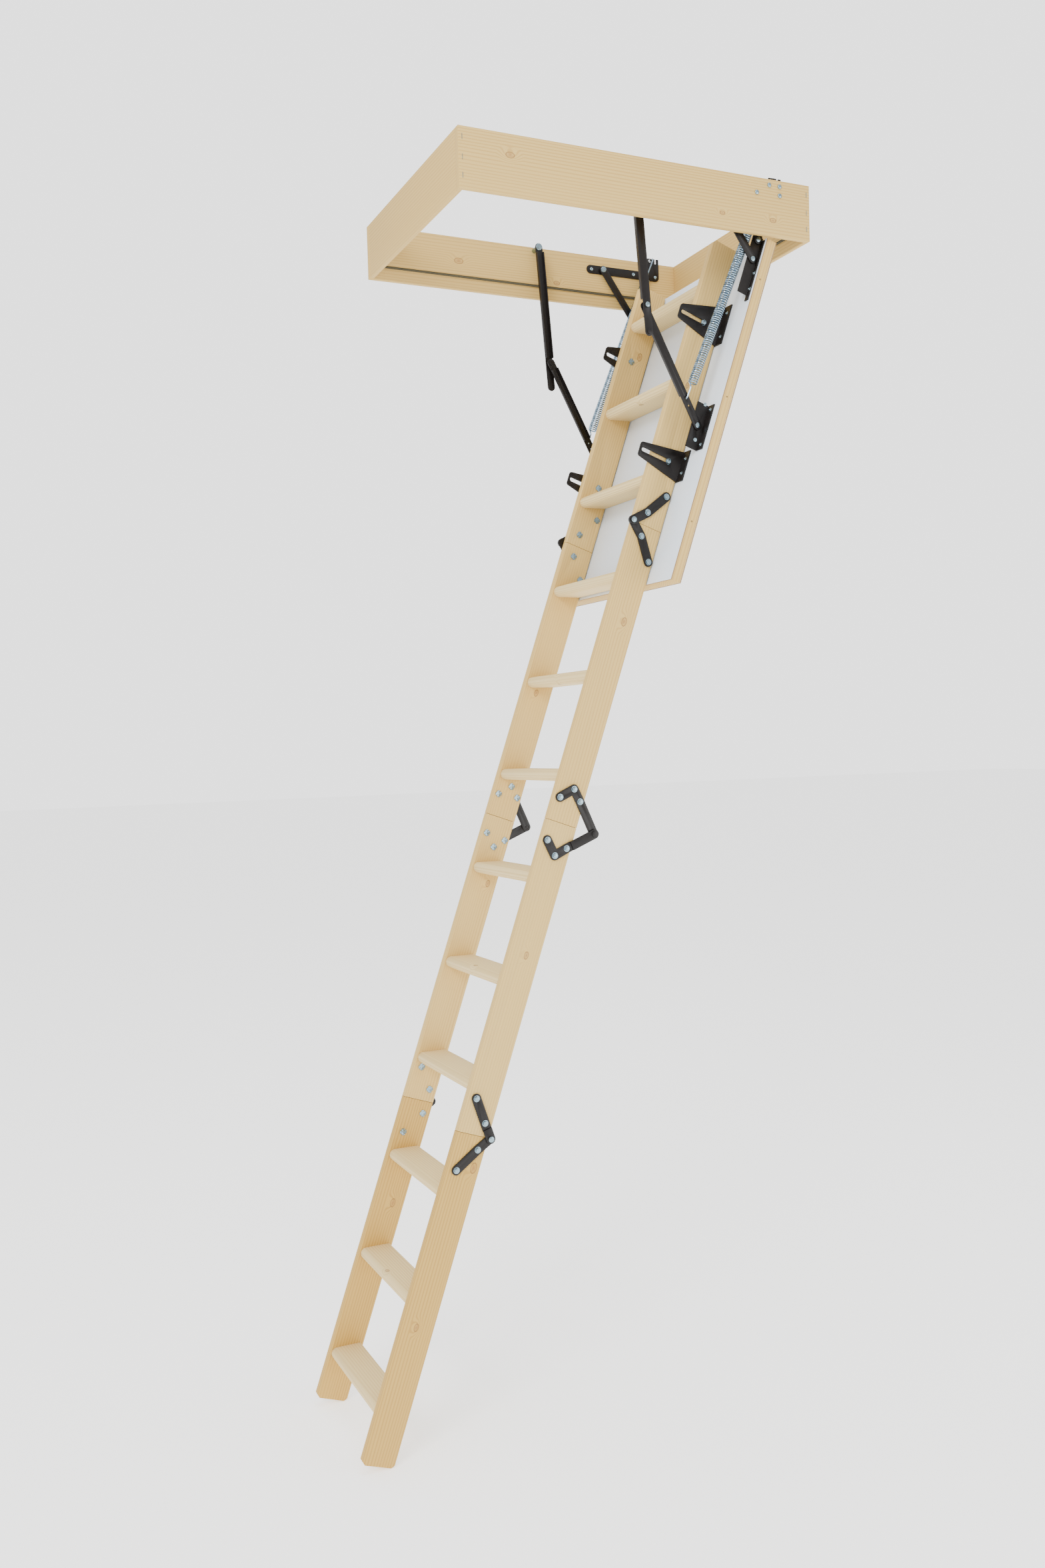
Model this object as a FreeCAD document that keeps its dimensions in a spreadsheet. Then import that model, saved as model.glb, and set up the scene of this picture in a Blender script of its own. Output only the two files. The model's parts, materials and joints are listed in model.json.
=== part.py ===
import FreeCAD, Part
import os
import Sketcher
from FreeCAD import Placement, Rotation, Vector

# Wooden loft ladder: a spruce hatch frame, a white hatch panel that swings on links,
# and a ladder in four sections that fold together on steel hinges.
# Millimetres. X runs along the long frame boards to the hinge end, Y across, Z up,
# with the origin in the middle of the ceiling opening, level with the frame's underside.
# Sizes below are laid out from the frame's lower outer corner; node() moves each
# finished piece to the origin.
# Ladder and hatch pieces are drawn in the ladder's own axes (X from the front edge
# to the back edge of a stringer, Z up the stringer) and then leaned to the pitch.

SIZES = [
    ("frame_l", 900), ("frame_w", 600), ("frame_h", 130), ("board_t", 18),
    ("rebate_d", 7), ("rebate_h", 35), ("seal_w", 5), ("seal_h", 5),
    ("pitch", 70.5), ("ladder_x", 700), ("ladder_w", 364),
    ("stringer_t", 19), ("stringer_d", 80), ("stringer_r", 4), ("end_cut", 8),
    ("top_s", 25), ("joint_a", 695), ("joint_b", 1425), ("joint_c", 2156),
    ("foot_s", 2900), ("joint_gap", 1),
    ("tread_first", 68), ("tread_pitch", 245.5), ("tread_t", 27), ("tread_d", 74),
    ("tread_w", 36), ("tread_let", 7),
    ("hatch_gap", 2), ("hatch_t", 28), ("sheet_t", 3), ("hatch_top", 28),
    ("hatch_l", 852), ("hatch_w", 576), ("rail_w", 34),
    ("plate_t", 3), ("plate_w", 22), ("plate_gap", 0.2), ("joggle", 14),
    ("front_pivot", 2), ("rear_pivot", 3), ("back_pivot", 45),
    ("bolt_r", 3), ("head_r", 6), ("head_h", 4), ("tee_r", 7.5), ("tee_h", 1.5),
    ("rivet_r", 4), ("rivet_head_r", 7.5), ("rivet_head_h", 2.5),
    ("slot_t", 3.5), ("slot_h", 11), ("slot_reach", 37), ("slot_flange", 30),
    ("strap_x", 610), ("strap_l", 222), ("strap_w", 22), ("strap_t", 3), ("strap_z", 93),
    ("tab_l", 34), ("tab_h", 43), ("tab_rim", 6), ("tab_hole", 4),
    ("hook_in", 7), ("ear_slot_in", 12), ("ear_slot_w", 5), ("ear_slot_h", 14),
    ("strap_screw_in", 14), ("strap_screw_mid", 97), ("strap_screw_out", 11),
    ("pin_play", 0.05), ("rub_gap", 0.2),
    ("link_t", 3), ("link_w", 20), ("link_y", 26), ("link_gap", 0.5),
    ("diag_x", 655.9), ("diag_z", 93), ("swing_x", 787.6), ("swing_z", 95),
    ("diag_s", 27), ("swing_s", -22), ("link_h", 14),
    ("bar_t", 3), ("bar_l", 146), ("bar_h", 28), ("bar_f", 14),
    ("arm_x", 455), ("arm_z", 121), ("knee_x", 477), ("knee_z", -178), ("arm_tail", 60),
    ("arm_w", 20), ("arm_t", 2.5), ("arm_y", 46), ("arm_depth", 8), ("arm_gap", 0.5),
    ("rim_low", 5), ("spare_hole", 17),
    ("shoe_s", 443), ("shoe_h", 18), ("shoe_l", 112), ("shoe_up", 33), ("shoe_f", 27),
    ("spring_r", 11.5), ("wire_r", 1.6), ("spring_hole", 67), ("hole_r", 2.2),
    ("hook_low", 38), ("hook_high", 66), ("spring_top_y", 40), ("spring_low_y", 53),
    ("screw_r", 4.5), ("screw_h", 2),
]

doc = FreeCAD.newDocument("loft_ladder")
dims = doc.addObject("Spreadsheet::Sheet", "dims")
for row, (alias, value) in enumerate(SIZES, 1):
    dims.set("A%d" % row, alias)
    dims.set("B%d" % row, str(value))
    dims.setAlias("B%d" % row, alias)
doc.recompute()

SPIN_Y = Rotation(Vector(1, 0, 0), -90)
NODES = []


def bind(obj, **sizes):
    for prop, expr in sizes.items():
        obj.setExpression(prop, str(expr))
    return obj


def at(obj, x, y, z):
    obj.setExpression("Placement.Base.x", str(x))
    obj.setExpression("Placement.Base.y", str(y))
    obj.setExpression("Placement.Base.z", str(z))
    return obj


def box(name, x, y, z, dx, dy, dz):
    obj = doc.addObject("Part::Box", name)
    bind(obj, Length=dx, Width=dy, Height=dz)
    return at(obj, x, y, z)


def rod(name, x, y, z, radius, length):
    """A round bar along Y."""
    obj = doc.addObject("Part::Cylinder", name)
    obj.Placement = Placement(Vector(), SPIN_Y)
    bind(obj, Radius=radius, Height=length)
    return at(obj, x, y, z)


def hexagon(name, x, y, z, radius, length):
    """A hexagonal head along Y."""
    obj = doc.addObject("Part::Prism", name)
    obj.Polygon = 6
    obj.Placement = Placement(Vector(), SPIN_Y)
    bind(obj, Circumradius=radius, Height=length)
    return at(obj, x, y, z)


def fuse(name, parts):
    obj = doc.addObject("Part::MultiFuse", name)
    obj.Shapes = parts
    return obj


def cut(name, base, tools):
    tool = tools[0] if len(tools) == 1 else fuse(name + "_tools", tools)
    obj = doc.addObject("Part::Cut", name)
    obj.Base = base
    obj.Tool = tool
    return obj


def node(name, parts, leaned=False):
    """A finished piece: it gets the node's name and goes to its own STEP file."""
    obj = doc.addObject("Part::Compound", name)
    obj.Label = name
    obj.Links = parts
    x = "-dims.frame_l / 2"
    if leaned:
        x = "dims.ladder_x - dims.frame_l / 2"
        obj.Placement = Placement(Vector(), Rotation(Vector(0, 1, 0), 1))
        obj.setExpression("Placement.Rotation.Angle", "90 - dims.pitch")
    at(obj, x, "-dims.frame_w / 2", "0")
    NODES.append(obj)
    return obj


def across(y, depth, far):
    """The Y of a piece on the near side, or of its mirror on the far side."""
    if far:
        return "dims.frame_w - (%s) - (%s)" % (y, depth)
    return "(%s)" % y


def world_x(s, w):
    return ("(dims.ladder_x - (%s) * cos(dims.pitch * 1 deg)"
            " + (%s) * sin(dims.pitch * 1 deg))" % (s, w))


def world_z(s, w):
    return "(-(%s) * sin(dims.pitch * 1 deg) - (%s) * cos(dims.pitch * 1 deg))" % (s, w)


def strap(name, ends, y, depth, width, holes=(), flanges=None, square=False):
    """A flat bar with round ends, or a square first end, from the first point to the second.

    holes are (distance from the first point, radius); flanges are
    (start, end, depth, side) strips along both edges.
    """
    x1, z1, x2, z2 = ends
    length = "sqrt((%s - %s) ^ 2 + (%s - %s) ^ 2)" % (x2, x1, z2, z1)
    parts = [
        box(name + "_flat", "0", "0", "-(%s) / 2" % width, length, depth, width),
        rod(name + "_eye_b", length, "0", "0", "(%s) / 2" % width, depth),
    ]
    if not square:
        parts.append(rod(name + "_eye_a", "0", "0", "0", "(%s) / 2" % width, depth))
    if flanges:
        start, stop, reach, lift = flanges
        for tag, z in (("lo", "-(%s) / 2" % width), ("hi", "(%s) / 2 - dims.arm_t" % width)):
            parts.append(box(name + "_rim_" + tag, start, lift, z,
                             "%s - (%s) - (%s)" % (length, start, stop), reach, "dims.arm_t"))
    shape = fuse(name + "_blank", parts)
    if holes:
        tools = []
        for i, (dist, radius) in enumerate(holes):
            tools.append(rod("%s_hole_%d" % (name, i), dist, "-20", "0", radius, "60"))
        shape = cut(name + "_drilled", shape, tools)
    shape.Placement = Placement(Vector(), Rotation(Vector(0, 1, 0), 1))
    at(shape, x1, y, z1)
    shape.setExpression("Placement.Rotation.Angle",
                        "-atan2(%s - %s; %s - %s)" % (z2, z1, x2, x1))
    return shape


def outline(name, points, y, depth, slot=None):
    """A flat plate cut to an outline, with an optional long slot, in X and Z."""
    sketch = doc.addObject("Sketcher::SketchObject", name + "_sketch")
    count = len(points)
    guess = [(dims_value(px), dims_value(pz)) for px, pz in points]
    for i in range(count):
        a = guess[i]
        b = guess[(i + 1) % count]
        sketch.addGeometry(Part.LineSegment(Vector(a[0], a[1], 0), Vector(b[0], b[1], 0)), False)
    for i in range(count):
        sketch.addConstraint(Sketcher.Constraint("Coincident", i, 2, (i + 1) % count, 1))
    for i, (px, pz) in enumerate(points):
        for kind, expr, value in (("DistanceX", px, guess[i][0]), ("DistanceY", pz, guess[i][1])):
            if expr == "0":
                number = sketch.addConstraint(Sketcher.Constraint(
                    "PointOnObject", i, 1, -2 if kind == "DistanceX" else -1))
                continue
            number = sketch.addConstraint(Sketcher.Constraint(kind, -1, 1, i, 1, value))
            sketch.setExpression("Constraints[%d]" % number, expr)
    sketch.Placement = Placement(Vector(), Rotation(Vector(1, 0, 0), 90))
    sketch.setExpression("Placement.Base.y", "%s + %s" % (y, depth))
    plate = doc.addObject("Part::Extrusion", name + "_plate")
    plate.Base = sketch
    plate.DirMode = "Normal"
    plate.Solid = True
    bind(plate, LengthFwd=depth)
    if slot is None:
        return plate
    x1, x2, z, height = slot
    tools = [box(name + "_slot", x1, "0", "%s - (%s) / 2" % (z, height),
                 "%s - (%s)" % (x2, x1), "dims.frame_w", height)]
    for tag, x in (("a", x1), ("b", x2)):
        tools.append(rod(name + "_slot_" + tag, x, "0", z, "(%s) / 2" % height, "dims.frame_w"))
    return cut(name + "_slotted", plate, tools)


def dims_value(expr):
    """The present value of an expression, used only as a sketch's first guess."""
    probe = doc.getObject("probe") or doc.addObject("App::FeaturePython", "probe")
    if not hasattr(probe, "Number"):
        probe.addProperty("App::PropertyFloat", "Number")
    probe.setExpression("Number", str(expr))
    probe.recompute()
    return float(probe.Number)


# ---------------------------------------------------------------- hatch frame
boards = []
for far in (False, True):
    side = "far" if far else "near"
    board = box("board_%s_blank" % side, "0", across("0", "dims.board_t", far), "0",
                "dims.frame_l", "dims.board_t", "dims.frame_h")
    rebate = box("board_%s_rebate" % side, "dims.board_t - dims.rebate_d",
                 across("dims.board_t - dims.rebate_d", "dims.rebate_d", far), "0",
                 "dims.frame_l - 2 * (dims.board_t - dims.rebate_d)", "dims.rebate_d",
                 "dims.rebate_h")
    boards.append((side, board, rebate))
    node("frame_board_" + side, [cut("board_%s" % side, board, [rebate])])

for side, x, rx in (("free", "0", "dims.board_t - dims.rebate_d"),
                    ("hinge", "dims.frame_l - dims.board_t", "dims.frame_l - dims.board_t")):
    board = box("end_%s_blank" % side, x, "dims.board_t", "0", "dims.board_t",
                "dims.frame_w - 2 * dims.board_t", "dims.frame_h")
    rebate = box("end_%s_rebate" % side, rx, "0", "0", "dims.rebate_d", "dims.frame_w",
                 "dims.rebate_h")
    node("frame_end_" + side, [cut("end_" + side, board, [rebate])])

lip = "(dims.board_t - dims.rebate_d)"
seal_z = "dims.rebate_h - dims.seal_h"
ring = box("seal_outer", lip, lip, seal_z, "dims.frame_l - 2 * " + lip,
           "dims.frame_w - 2 * " + lip, "dims.seal_h")
inner = "(dims.board_t - dims.rebate_d + dims.seal_w)"
hole = box("seal_inner", inner, inner, seal_z, "dims.frame_l - 2 * " + inner,
           "dims.frame_w - 2 * " + inner, "dims.seal_h")
node("frame_seal", [cut("seal", ring, [hole])])

# Steel straps on the long boards carry the hatch links and the spring ears.
strap_end = "(dims.strap_x + dims.strap_l)"
hook_x = "(%s - dims.tab_l + dims.hook_in)" % strap_end
hook_z = "(dims.strap_z + dims.tab_h)"
# Length and height of each coach bolt's head on the outside of a long board.
DOMES = ((751, 95), (786, 116), (815, 116), (815, 95))
fixings = []
for far in (False, True):
    side = "far" if far else "near"
    y = across("dims.board_t", "dims.strap_t", far)
    half = "dims.strap_w / 2"
    bar = strap("strap_" + side, ("(dims.strap_x + %s)" % half, "dims.strap_z",
                                  "(%s - %s)" % (strap_end, half), "dims.strap_z"),
                y, "dims.strap_t", "dims.strap_w")
    tab = box("strap_tab_" + side, "%s - dims.tab_l" % strap_end, y, "dims.strap_z",
              "dims.tab_l", "dims.strap_t", "dims.tab_h + dims.tab_rim")
    hook_hole = rod("strap_hole_" + side, hook_x, across("0", "60", far), hook_z,
                    "dims.tab_hole", "60")
    slot = box("strap_slot_" + side, "%s - dims.ear_slot_in" % strap_end,
               across("0", "60", far), "%s - dims.ear_slot_h / 2" % hook_z,
               "dims.ear_slot_w", "60", "dims.ear_slot_h")
    blank = fuse("strap_all_" + side, [bar, tab])
    node("frame_strap_" + side, [cut("strap_cut_" + side, blank, [hook_hole, slot])])
    head_y = across("dims.board_t + dims.strap_t", "dims.screw_h", far)
    for i, x in enumerate(("dims.strap_x + dims.strap_screw_in",
                           "dims.diag_x + dims.strap_screw_mid",
                           "%s - dims.strap_screw_out" % strap_end)):
        fixings.append(rod("strap_screw_%s_%d" % (side, i), x, head_y, "dims.strap_z",
                           "dims.screw_r", "dims.screw_h"))
    pins = (("diag", "dims.diag_x", "dims.diag_z", "dims.link_y", "dims.link_t"),
            ("swing", "dims.swing_x", "dims.swing_z", "dims.link_y", "dims.link_t"),
            ("arm", "dims.arm_x", "dims.arm_z", "dims.arm_y", "dims.arm_t"))
    for tag, x, z, eye_y, eye_t in pins:
        start = "dims.board_t" if tag == "arm" else "(dims.board_t + dims.strap_t)"
        short = "(%s - dims.rub_gap - %s)" % (eye_y, start)
        fixings.append(rod("collar_%s_%s" % (tag, side), x, across(start, short, far), z,
                           "dims.rivet_r * 1.5", short))
        if tag == "diag":
            continue
        reach = "(%s + %s + dims.rub_gap)" % (eye_y, eye_t)
        fixings.append(rod("stud_%s_%s" % (tag, side), x,
                           across(start, "%s - %s" % (reach, start), far), z,
                           "dims.bolt_r", "%s - %s" % (reach, start)))
        fixings.append(rod("cap_%s_%s" % (tag, side), x,
                           across(reach, "dims.rivet_head_h", far), z,
                           "dims.rivet_head_r", "dims.rivet_head_h"))
    for i, (x, z) in enumerate(DOMES):
        dome = doc.addObject("Part::Sphere", "dome_%s_%d" % (side, i))
        dome.Angle1 = 0
        dome.Angle2 = 90
        turn = Rotation(Vector(1, 0, 0), -90) if far else Rotation(Vector(1, 0, 0), 90)
        dome.Placement = Placement(Vector(), turn)
        bind(dome, Radius="dims.rivet_r")
        at(dome, str(x), "dims.frame_w" if far else "0", str(z))
        fixings.append(dome)
node("frame_fixings", [fuse("fixings", fixings)])

# ---------------------------------------------------------------- hatch panel
back = "(dims.stringer_d + dims.hatch_gap)"
hatch_y = "(dims.frame_w - dims.hatch_w) / 2"
hatch_z = "(dims.hatch_top - dims.hatch_l)"
core_t = "(dims.hatch_t - 2 * dims.sheet_t)"
core_x = "(%s + dims.sheet_t)" % back
rails = box("rails_blank", core_x, hatch_y, hatch_z, core_t, "dims.hatch_w", "dims.hatch_l")
well = box("rails_well", core_x, hatch_y + " + dims.rail_w", hatch_z + " + dims.rail_w",
           core_t, "dims.hatch_w - 2 * dims.rail_w", "dims.hatch_l - 2 * dims.rail_w")
node("hatch_rails", [cut("rails", rails, [well])], True)
node("hatch_core", [box("core", core_x, hatch_y + " + dims.rail_w", hatch_z + " + dims.rail_w",
                        core_t, "dims.hatch_w - 2 * dims.rail_w",
                        "dims.hatch_l - 2 * dims.rail_w")], True)
for side, x in (("inner", back), ("outer", "%s + %s" % (core_x, core_t))):
    node("hatch_sheet_" + side, [box("sheet_" + side, x, hatch_y, hatch_z, "dims.sheet_t",
                                     "dims.hatch_w", "dims.hatch_l")], True)

# Angle bars at the hinge end of the panel, and the shoes of the folding arms.
bar_y = "(dims.link_y + dims.link_t + dims.link_gap)"
link_x = "(%s - dims.link_h)" % back
shoe_y = "(dims.arm_y + 2 * dims.arm_t + dims.arm_depth + 2 * dims.arm_gap)"
for far in (False, True):
    side = "far" if far else "near"
    up = box("bar_up_" + side, "%s - dims.bar_h" % back, across(bar_y, "dims.bar_t", far),
             "-dims.swing_s + 10 - dims.bar_l", "dims.bar_h", "dims.bar_t", "dims.bar_l")
    foot_y = "(%s - dims.bar_f + dims.bar_t)" % bar_y
    foot = box("bar_foot_" + side, "%s - dims.bar_t" % back, across(foot_y, "dims.bar_f", far),
               "-dims.swing_s - 4 - dims.bar_l", "dims.bar_t", "dims.bar_f", "dims.bar_l + 6")
    node("hatch_bar_" + side, [fuse("bar_" + side, [up, foot])], True)

shoes = []
for far in (False, True):
    side = "far" if far else "near"
    up = box("shoe_up_" + side, "%s - dims.shoe_up" % back, across(shoe_y, "dims.bar_t", far),
             "-dims.shoe_s - dims.shoe_l / 2", "dims.shoe_up", "dims.bar_t", "dims.shoe_l")
    foot_y = "(%s - dims.shoe_f + dims.bar_t)" % shoe_y
    foot = box("shoe_foot_" + side, "%s - dims.bar_t" % back, across(foot_y, "dims.shoe_f", far),
               "-dims.shoe_s - dims.shoe_l / 2", "dims.bar_t", "dims.shoe_f", "dims.shoe_l")
    pin = rod("shoe_hole_" + side, "%s - dims.shoe_h" % back, "0", "-dims.shoe_s",
              "dims.bolt_r", "dims.frame_w")
    shoes.append(cut("shoe_" + side, fuse("shoe_all_" + side, [up, foot]), [pin]))
node("arm_shoes", shoes, True)

# Slotted brackets that hold section 1 on the panel.
ladder_y = "((dims.frame_w - dims.ladder_w) / 2)"
slot_y = "(%s - dims.plate_gap - dims.slot_t)" % ladder_y
SLOTS = (("upper", 178, 117, 218, 34), ("lower", 529, 491, 568, 45))
for tag, s_mid, s_top, s_low, rear in SLOTS:
    pair = []
    for far in (False, True):
        side = "%s_%s" % (tag, "far" if far else "near")
        reach = "-dims.slot_reach"
        plate = outline("slot_" + side,
                        ((reach, str(17 - s_mid)), (reach, str(-17 - s_mid)),
                         (back, str(-s_low)), (back, str(-s_top))),
                        across(slot_y, "dims.slot_t", far), "dims.slot_t",
                        ("%s + 11" % reach, str(rear), str(-s_mid), "dims.slot_h"))
        foot_y = "(%s - dims.slot_flange + dims.slot_t)" % slot_y
        foot = box("slot_foot_" + side, "%s - dims.slot_t" % back,
                   across(foot_y, "dims.slot_flange", far), str(-s_low), "dims.slot_t",
                   "dims.slot_flange", str(s_low - s_top))
        pair.append(fuse("slot_all_" + side, [plate, foot]))
    node("slot_brackets_" + tag, pair, True)

# ---------------------------------------------------------------- hatch links
for tag, px, pz, s in (("diag", "dims.diag_x", "dims.diag_z", "dims.diag_s"),
                       ("swing", "dims.swing_x", "dims.swing_z", "dims.swing_s")):
    for far in (False, True):
        side = "far" if far else "near"
        ends = (px, pz, world_x(s, link_x), world_z(s, link_x))
        length = "sqrt((%s - %s) ^ 2 + (%s - %s) ^ 2)" % (ends[2], ends[0], ends[3], ends[1])
        holes = [(length, "dims.bolt_r + dims.pin_play")]
        if tag == "swing":
            holes.append(("0", "dims.bolt_r + dims.pin_play"))
        link = strap("link_%s_%s" % (tag, side), ends,
                     across("dims.link_y", "dims.link_t", far), "dims.link_t", "dims.link_w",
                     holes)
        if tag == "diag":
            rivet = rod("link_rivet_" + side, px,
                        across("dims.link_y + dims.link_t", "dims.rivet_head_h", far), pz,
                        "dims.rivet_head_r", "dims.rivet_head_h")
            link = fuse("link_all_" + side, [link, rivet])
        node("hatch_link_%s_%s" % (tag, side), [link])

# ---------------------------------------------------------------- folding arms
shoe_x = world_x("dims.shoe_s", "(%s - dims.shoe_h)" % back)
shoe_z = world_z("dims.shoe_s", "(%s - dims.shoe_h)" % back)
upper_l = "sqrt((dims.knee_x - dims.arm_x) ^ 2 + (dims.knee_z - dims.arm_z) ^ 2)"
tail_x = "(dims.knee_x + (dims.knee_x - dims.arm_x) * dims.arm_tail / %s)" % upper_l
tail_z = "(dims.knee_z + (dims.knee_z - dims.arm_z) * dims.arm_tail / %s)" % upper_l
lower_l = "sqrt((%s - dims.knee_x) ^ 2 + (%s - dims.knee_z) ^ 2)" % (shoe_x, shoe_z)
lower_y = "(dims.arm_y + dims.arm_t + dims.arm_depth + dims.arm_gap)"
for far in (False, True):
    side = "far" if far else "near"
    rim_y = "dims.arm_t" if not far else "-dims.arm_depth"
    arm = strap("upper_" + side, ("dims.arm_x", "dims.arm_z", tail_x, tail_z),
                across("dims.arm_y", "dims.arm_t", far), "dims.arm_t", "dims.arm_w",
                (("0", "dims.bolt_r + dims.pin_play"),),
                ("14", "dims.arm_tail + 14", "dims.arm_depth", rim_y))
    knee_y = "dims.arm_y - dims.rivet_head_h"
    knee = [rod("knee_cap_" + side, "dims.knee_x", across(knee_y, "dims.rivet_head_h", far),
                "dims.knee_z", "dims.rivet_head_r", "dims.rivet_head_h"),
            rod("tail_rivet_" + side, tail_x, across(knee_y, "dims.rivet_head_h", far), tail_z,
                "dims.rivet_head_r - 1.5", "dims.rivet_head_h")]
    spacer = "(dims.arm_depth + dims.arm_gap - dims.rub_gap)"
    knee.append(rod("knee_spacer_" + side, "dims.knee_x",
                    across("dims.arm_y + dims.arm_t", spacer, far), "dims.knee_z",
                    "dims.rivet_r * 1.6", spacer))
    node("upper_arm_" + side, [fuse("upper_arm_all_" + side, [arm] + knee)])
    rim_y = "dims.arm_t" if not far else "-dims.rim_low"
    arm = strap("lower_" + side, (shoe_x, shoe_z, "dims.knee_x", "dims.knee_z"),
                across(lower_y, "dims.arm_t", far), "dims.arm_t", "dims.arm_w",
                (("0", "dims.bolt_r + dims.pin_play"), ("dims.spring_hole", "dims.hole_r"),
                 ("dims.spring_hole - dims.spare_hole", "dims.hole_r")),
                ("dims.spring_hole + 10", "18", "dims.rim_low", rim_y))
    tail = rod("lower_knee_" + side, "dims.knee_x",
               across("%s + dims.arm_t" % lower_y, "dims.rivet_head_h", far), "dims.knee_z",
               "dims.rivet_head_r - 1", "dims.rivet_head_h")
    node("lower_arm_" + side, [fuse("lower_arm_all_" + side, [arm, tail])])

# Extension springs from the straps' tabs down to the lower arms.
grip = "(dims.spring_hole / %s)" % lower_l
low_x = "(%s + (dims.knee_x - %s) * %s)" % (shoe_x, shoe_x, grip)
low_z = "(%s + (dims.knee_z - %s) * %s)" % (shoe_z, shoe_z, grip)
drop = "(dims.spring_top_y - dims.spring_low_y)"
span = "sqrt((%s - %s) ^ 2 + (%s - %s) ^ 2 + %s ^ 2)" % (hook_x, low_x, hook_z, low_z, drop)
lean = "atan2(%s - %s; %s - %s)" % (hook_x, low_x, hook_z, low_z)
for far in (False, True):
    side = "far" if far else "near"
    bars = []
    for tag, start, length, radius in (
            ("wire", "0", span, "dims.wire_r"),
            ("coil", "dims.hook_low", "%s - dims.hook_low - dims.hook_high" % span,
             "dims.spring_r")):
        bar = doc.addObject("Part::Cylinder", "spring_%s_%s" % (tag, side))
        bind(bar, Radius=radius, Height=length)
        at(bar, "0", "0", start)
        bars.append(bar)
    tilted = doc.addObject("Part::Compound", "spring_tilt_" + side)
    tilted.Links = [fuse("spring_bars_" + side, bars)]
    tilted.Placement = Placement(Vector(), Rotation(Vector(1, 0, 0), 1))
    tilted.setExpression("Placement.Rotation.Angle",
                         "%sasin(%s / %s)" % ("" if far else "-", drop, span))
    leaning = doc.addObject("Part::Compound", "spring_axis_" + side)
    leaning.Links = [tilted]
    leaning.Placement = Placement(Vector(), Rotation(Vector(0, 1, 0), 1))
    at(leaning, low_x, across("dims.spring_low_y", "0", far), low_z)
    leaning.setExpression("Placement.Rotation.Angle", lean)
    hook_l = "(%s + dims.arm_t + dims.wire_r - dims.spring_low_y)" % lower_y
    low_hook = rod("spring_hook_low_" + side, low_x, across("dims.spring_low_y", hook_l, far),
                   low_z, "dims.wire_r", hook_l)
    hook_l = "(dims.spring_top_y - dims.board_t + dims.wire_r)"
    top_hook = rod("spring_hook_top_" + side, hook_x,
                   across("dims.board_t - dims.wire_r", hook_l, far), hook_z,
                   "dims.wire_r", hook_l)
    node("spring_" + side, [fuse("spring_all_" + side, [leaning, low_hook, top_hook])])

# ---------------------------------------------------------------- ladder
joint = ["-dims.top_s", "dims.joint_a", "dims.joint_b", "dims.joint_c", "dims.foot_s"]
stringer_in = "(%s + dims.stringer_t)" % ladder_y
tread_y = "(%s - dims.tread_let)" % stringer_in
tread_l = "(dims.frame_w - 2 * %s)" % tread_y

treads = []
for k in range(12):
    s = "(dims.tread_first + %d * dims.tread_pitch)" % k
    nose = "dims.tread_t / 2"
    slab = box("slab_%d" % k, "-dims.tread_d / 2 + %s" % nose, tread_y, "-dims.tread_t",
               "dims.tread_d - %s" % nose, tread_l, "dims.tread_t")
    round_ = rod("nose_%d" % k, "-dims.tread_d / 2 + %s" % nose, tread_y, "-%s" % nose, nose,
                 tread_l)
    shape = fuse("tread_shape_%d" % k, [slab, round_])
    shape.Refine = True
    shape.Placement = Placement(Vector(), Rotation(Vector(0, 1, 0), 1))
    at(shape, "dims.tread_w", "0", "-" + s)
    shape.setExpression("Placement.Rotation.Angle", "dims.pitch - 90")
    treads.append(shape)

# Hinge fittings. Bolts are (distance down the ladder, distance from the front edge).
HINGES = (
    (1, "dims.joint_a", "-dims.front_pivot", "upper",
     ((-85, 66), (-31, 30)), ((28, 31), (79, 67))),
    (2, "dims.joint_b", "(dims.stringer_d + dims.back_pivot)", "lower",
     ((-56, 15), (-84, 44), (-61, 67.5)), ((47, 14), (76, 43), (52, 67))),
    (3, "dims.joint_c", "(dims.stringer_d + dims.rear_pivot)", "upper",
     ((-80, 22), (-31, 59.5)), ((30, 60), (84, 23))),
)
bolts = {1: [], 2: [], 3: [], 4: []}
for tag, s_mid, s_top, s_low, rear in SLOTS:
    bolts[1].append((str(s_mid), str(rear), "(%s - dims.plate_gap)" % ladder_y, "dims.slot_t"))
for number, s, pivot, outer, ups, lows in HINGES:
    for section, holes in ((number, ups), (number + 1, lows)):
        for ds, w in holes:
            bolts[section].append(("(%s + (%s))" % (s, ds), str(w),
                                   "(%s - dims.plate_gap)" % ladder_y, "dims.plate_t"))

shanks = {}
for section in (1, 2, 3, 4):
    shanks[section] = []
    parts = []
    for i, (s, w, face, thick) in enumerate(bolts[section]):
        for far in (False, True):
            name = "%d_%d_%s" % (section, i, "far" if far else "near")
            start = "(%s - %s)" % (face, thick)
            length = "(%s + dims.stringer_t - %s)" % (ladder_y, start)
            shank = rod("shank_" + name, w, across(start, length, far), "-" + s,
                        "dims.bolt_r", length)
            head = hexagon("head_" + name, w, across(start + " - dims.head_h", "dims.head_h", far),
                           "-" + s, "dims.head_r", "dims.head_h")
            tee = rod("tee_" + name, w, across(stringer_in, "dims.tee_h", far), "-" + s,
                      "dims.tee_r", "dims.tee_h")
            shanks[section].append(shank)
            parts += [shank, head, tee]
    node("section_%d_bolts" % section, [fuse("bolts_%d" % section, parts)], True)

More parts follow.
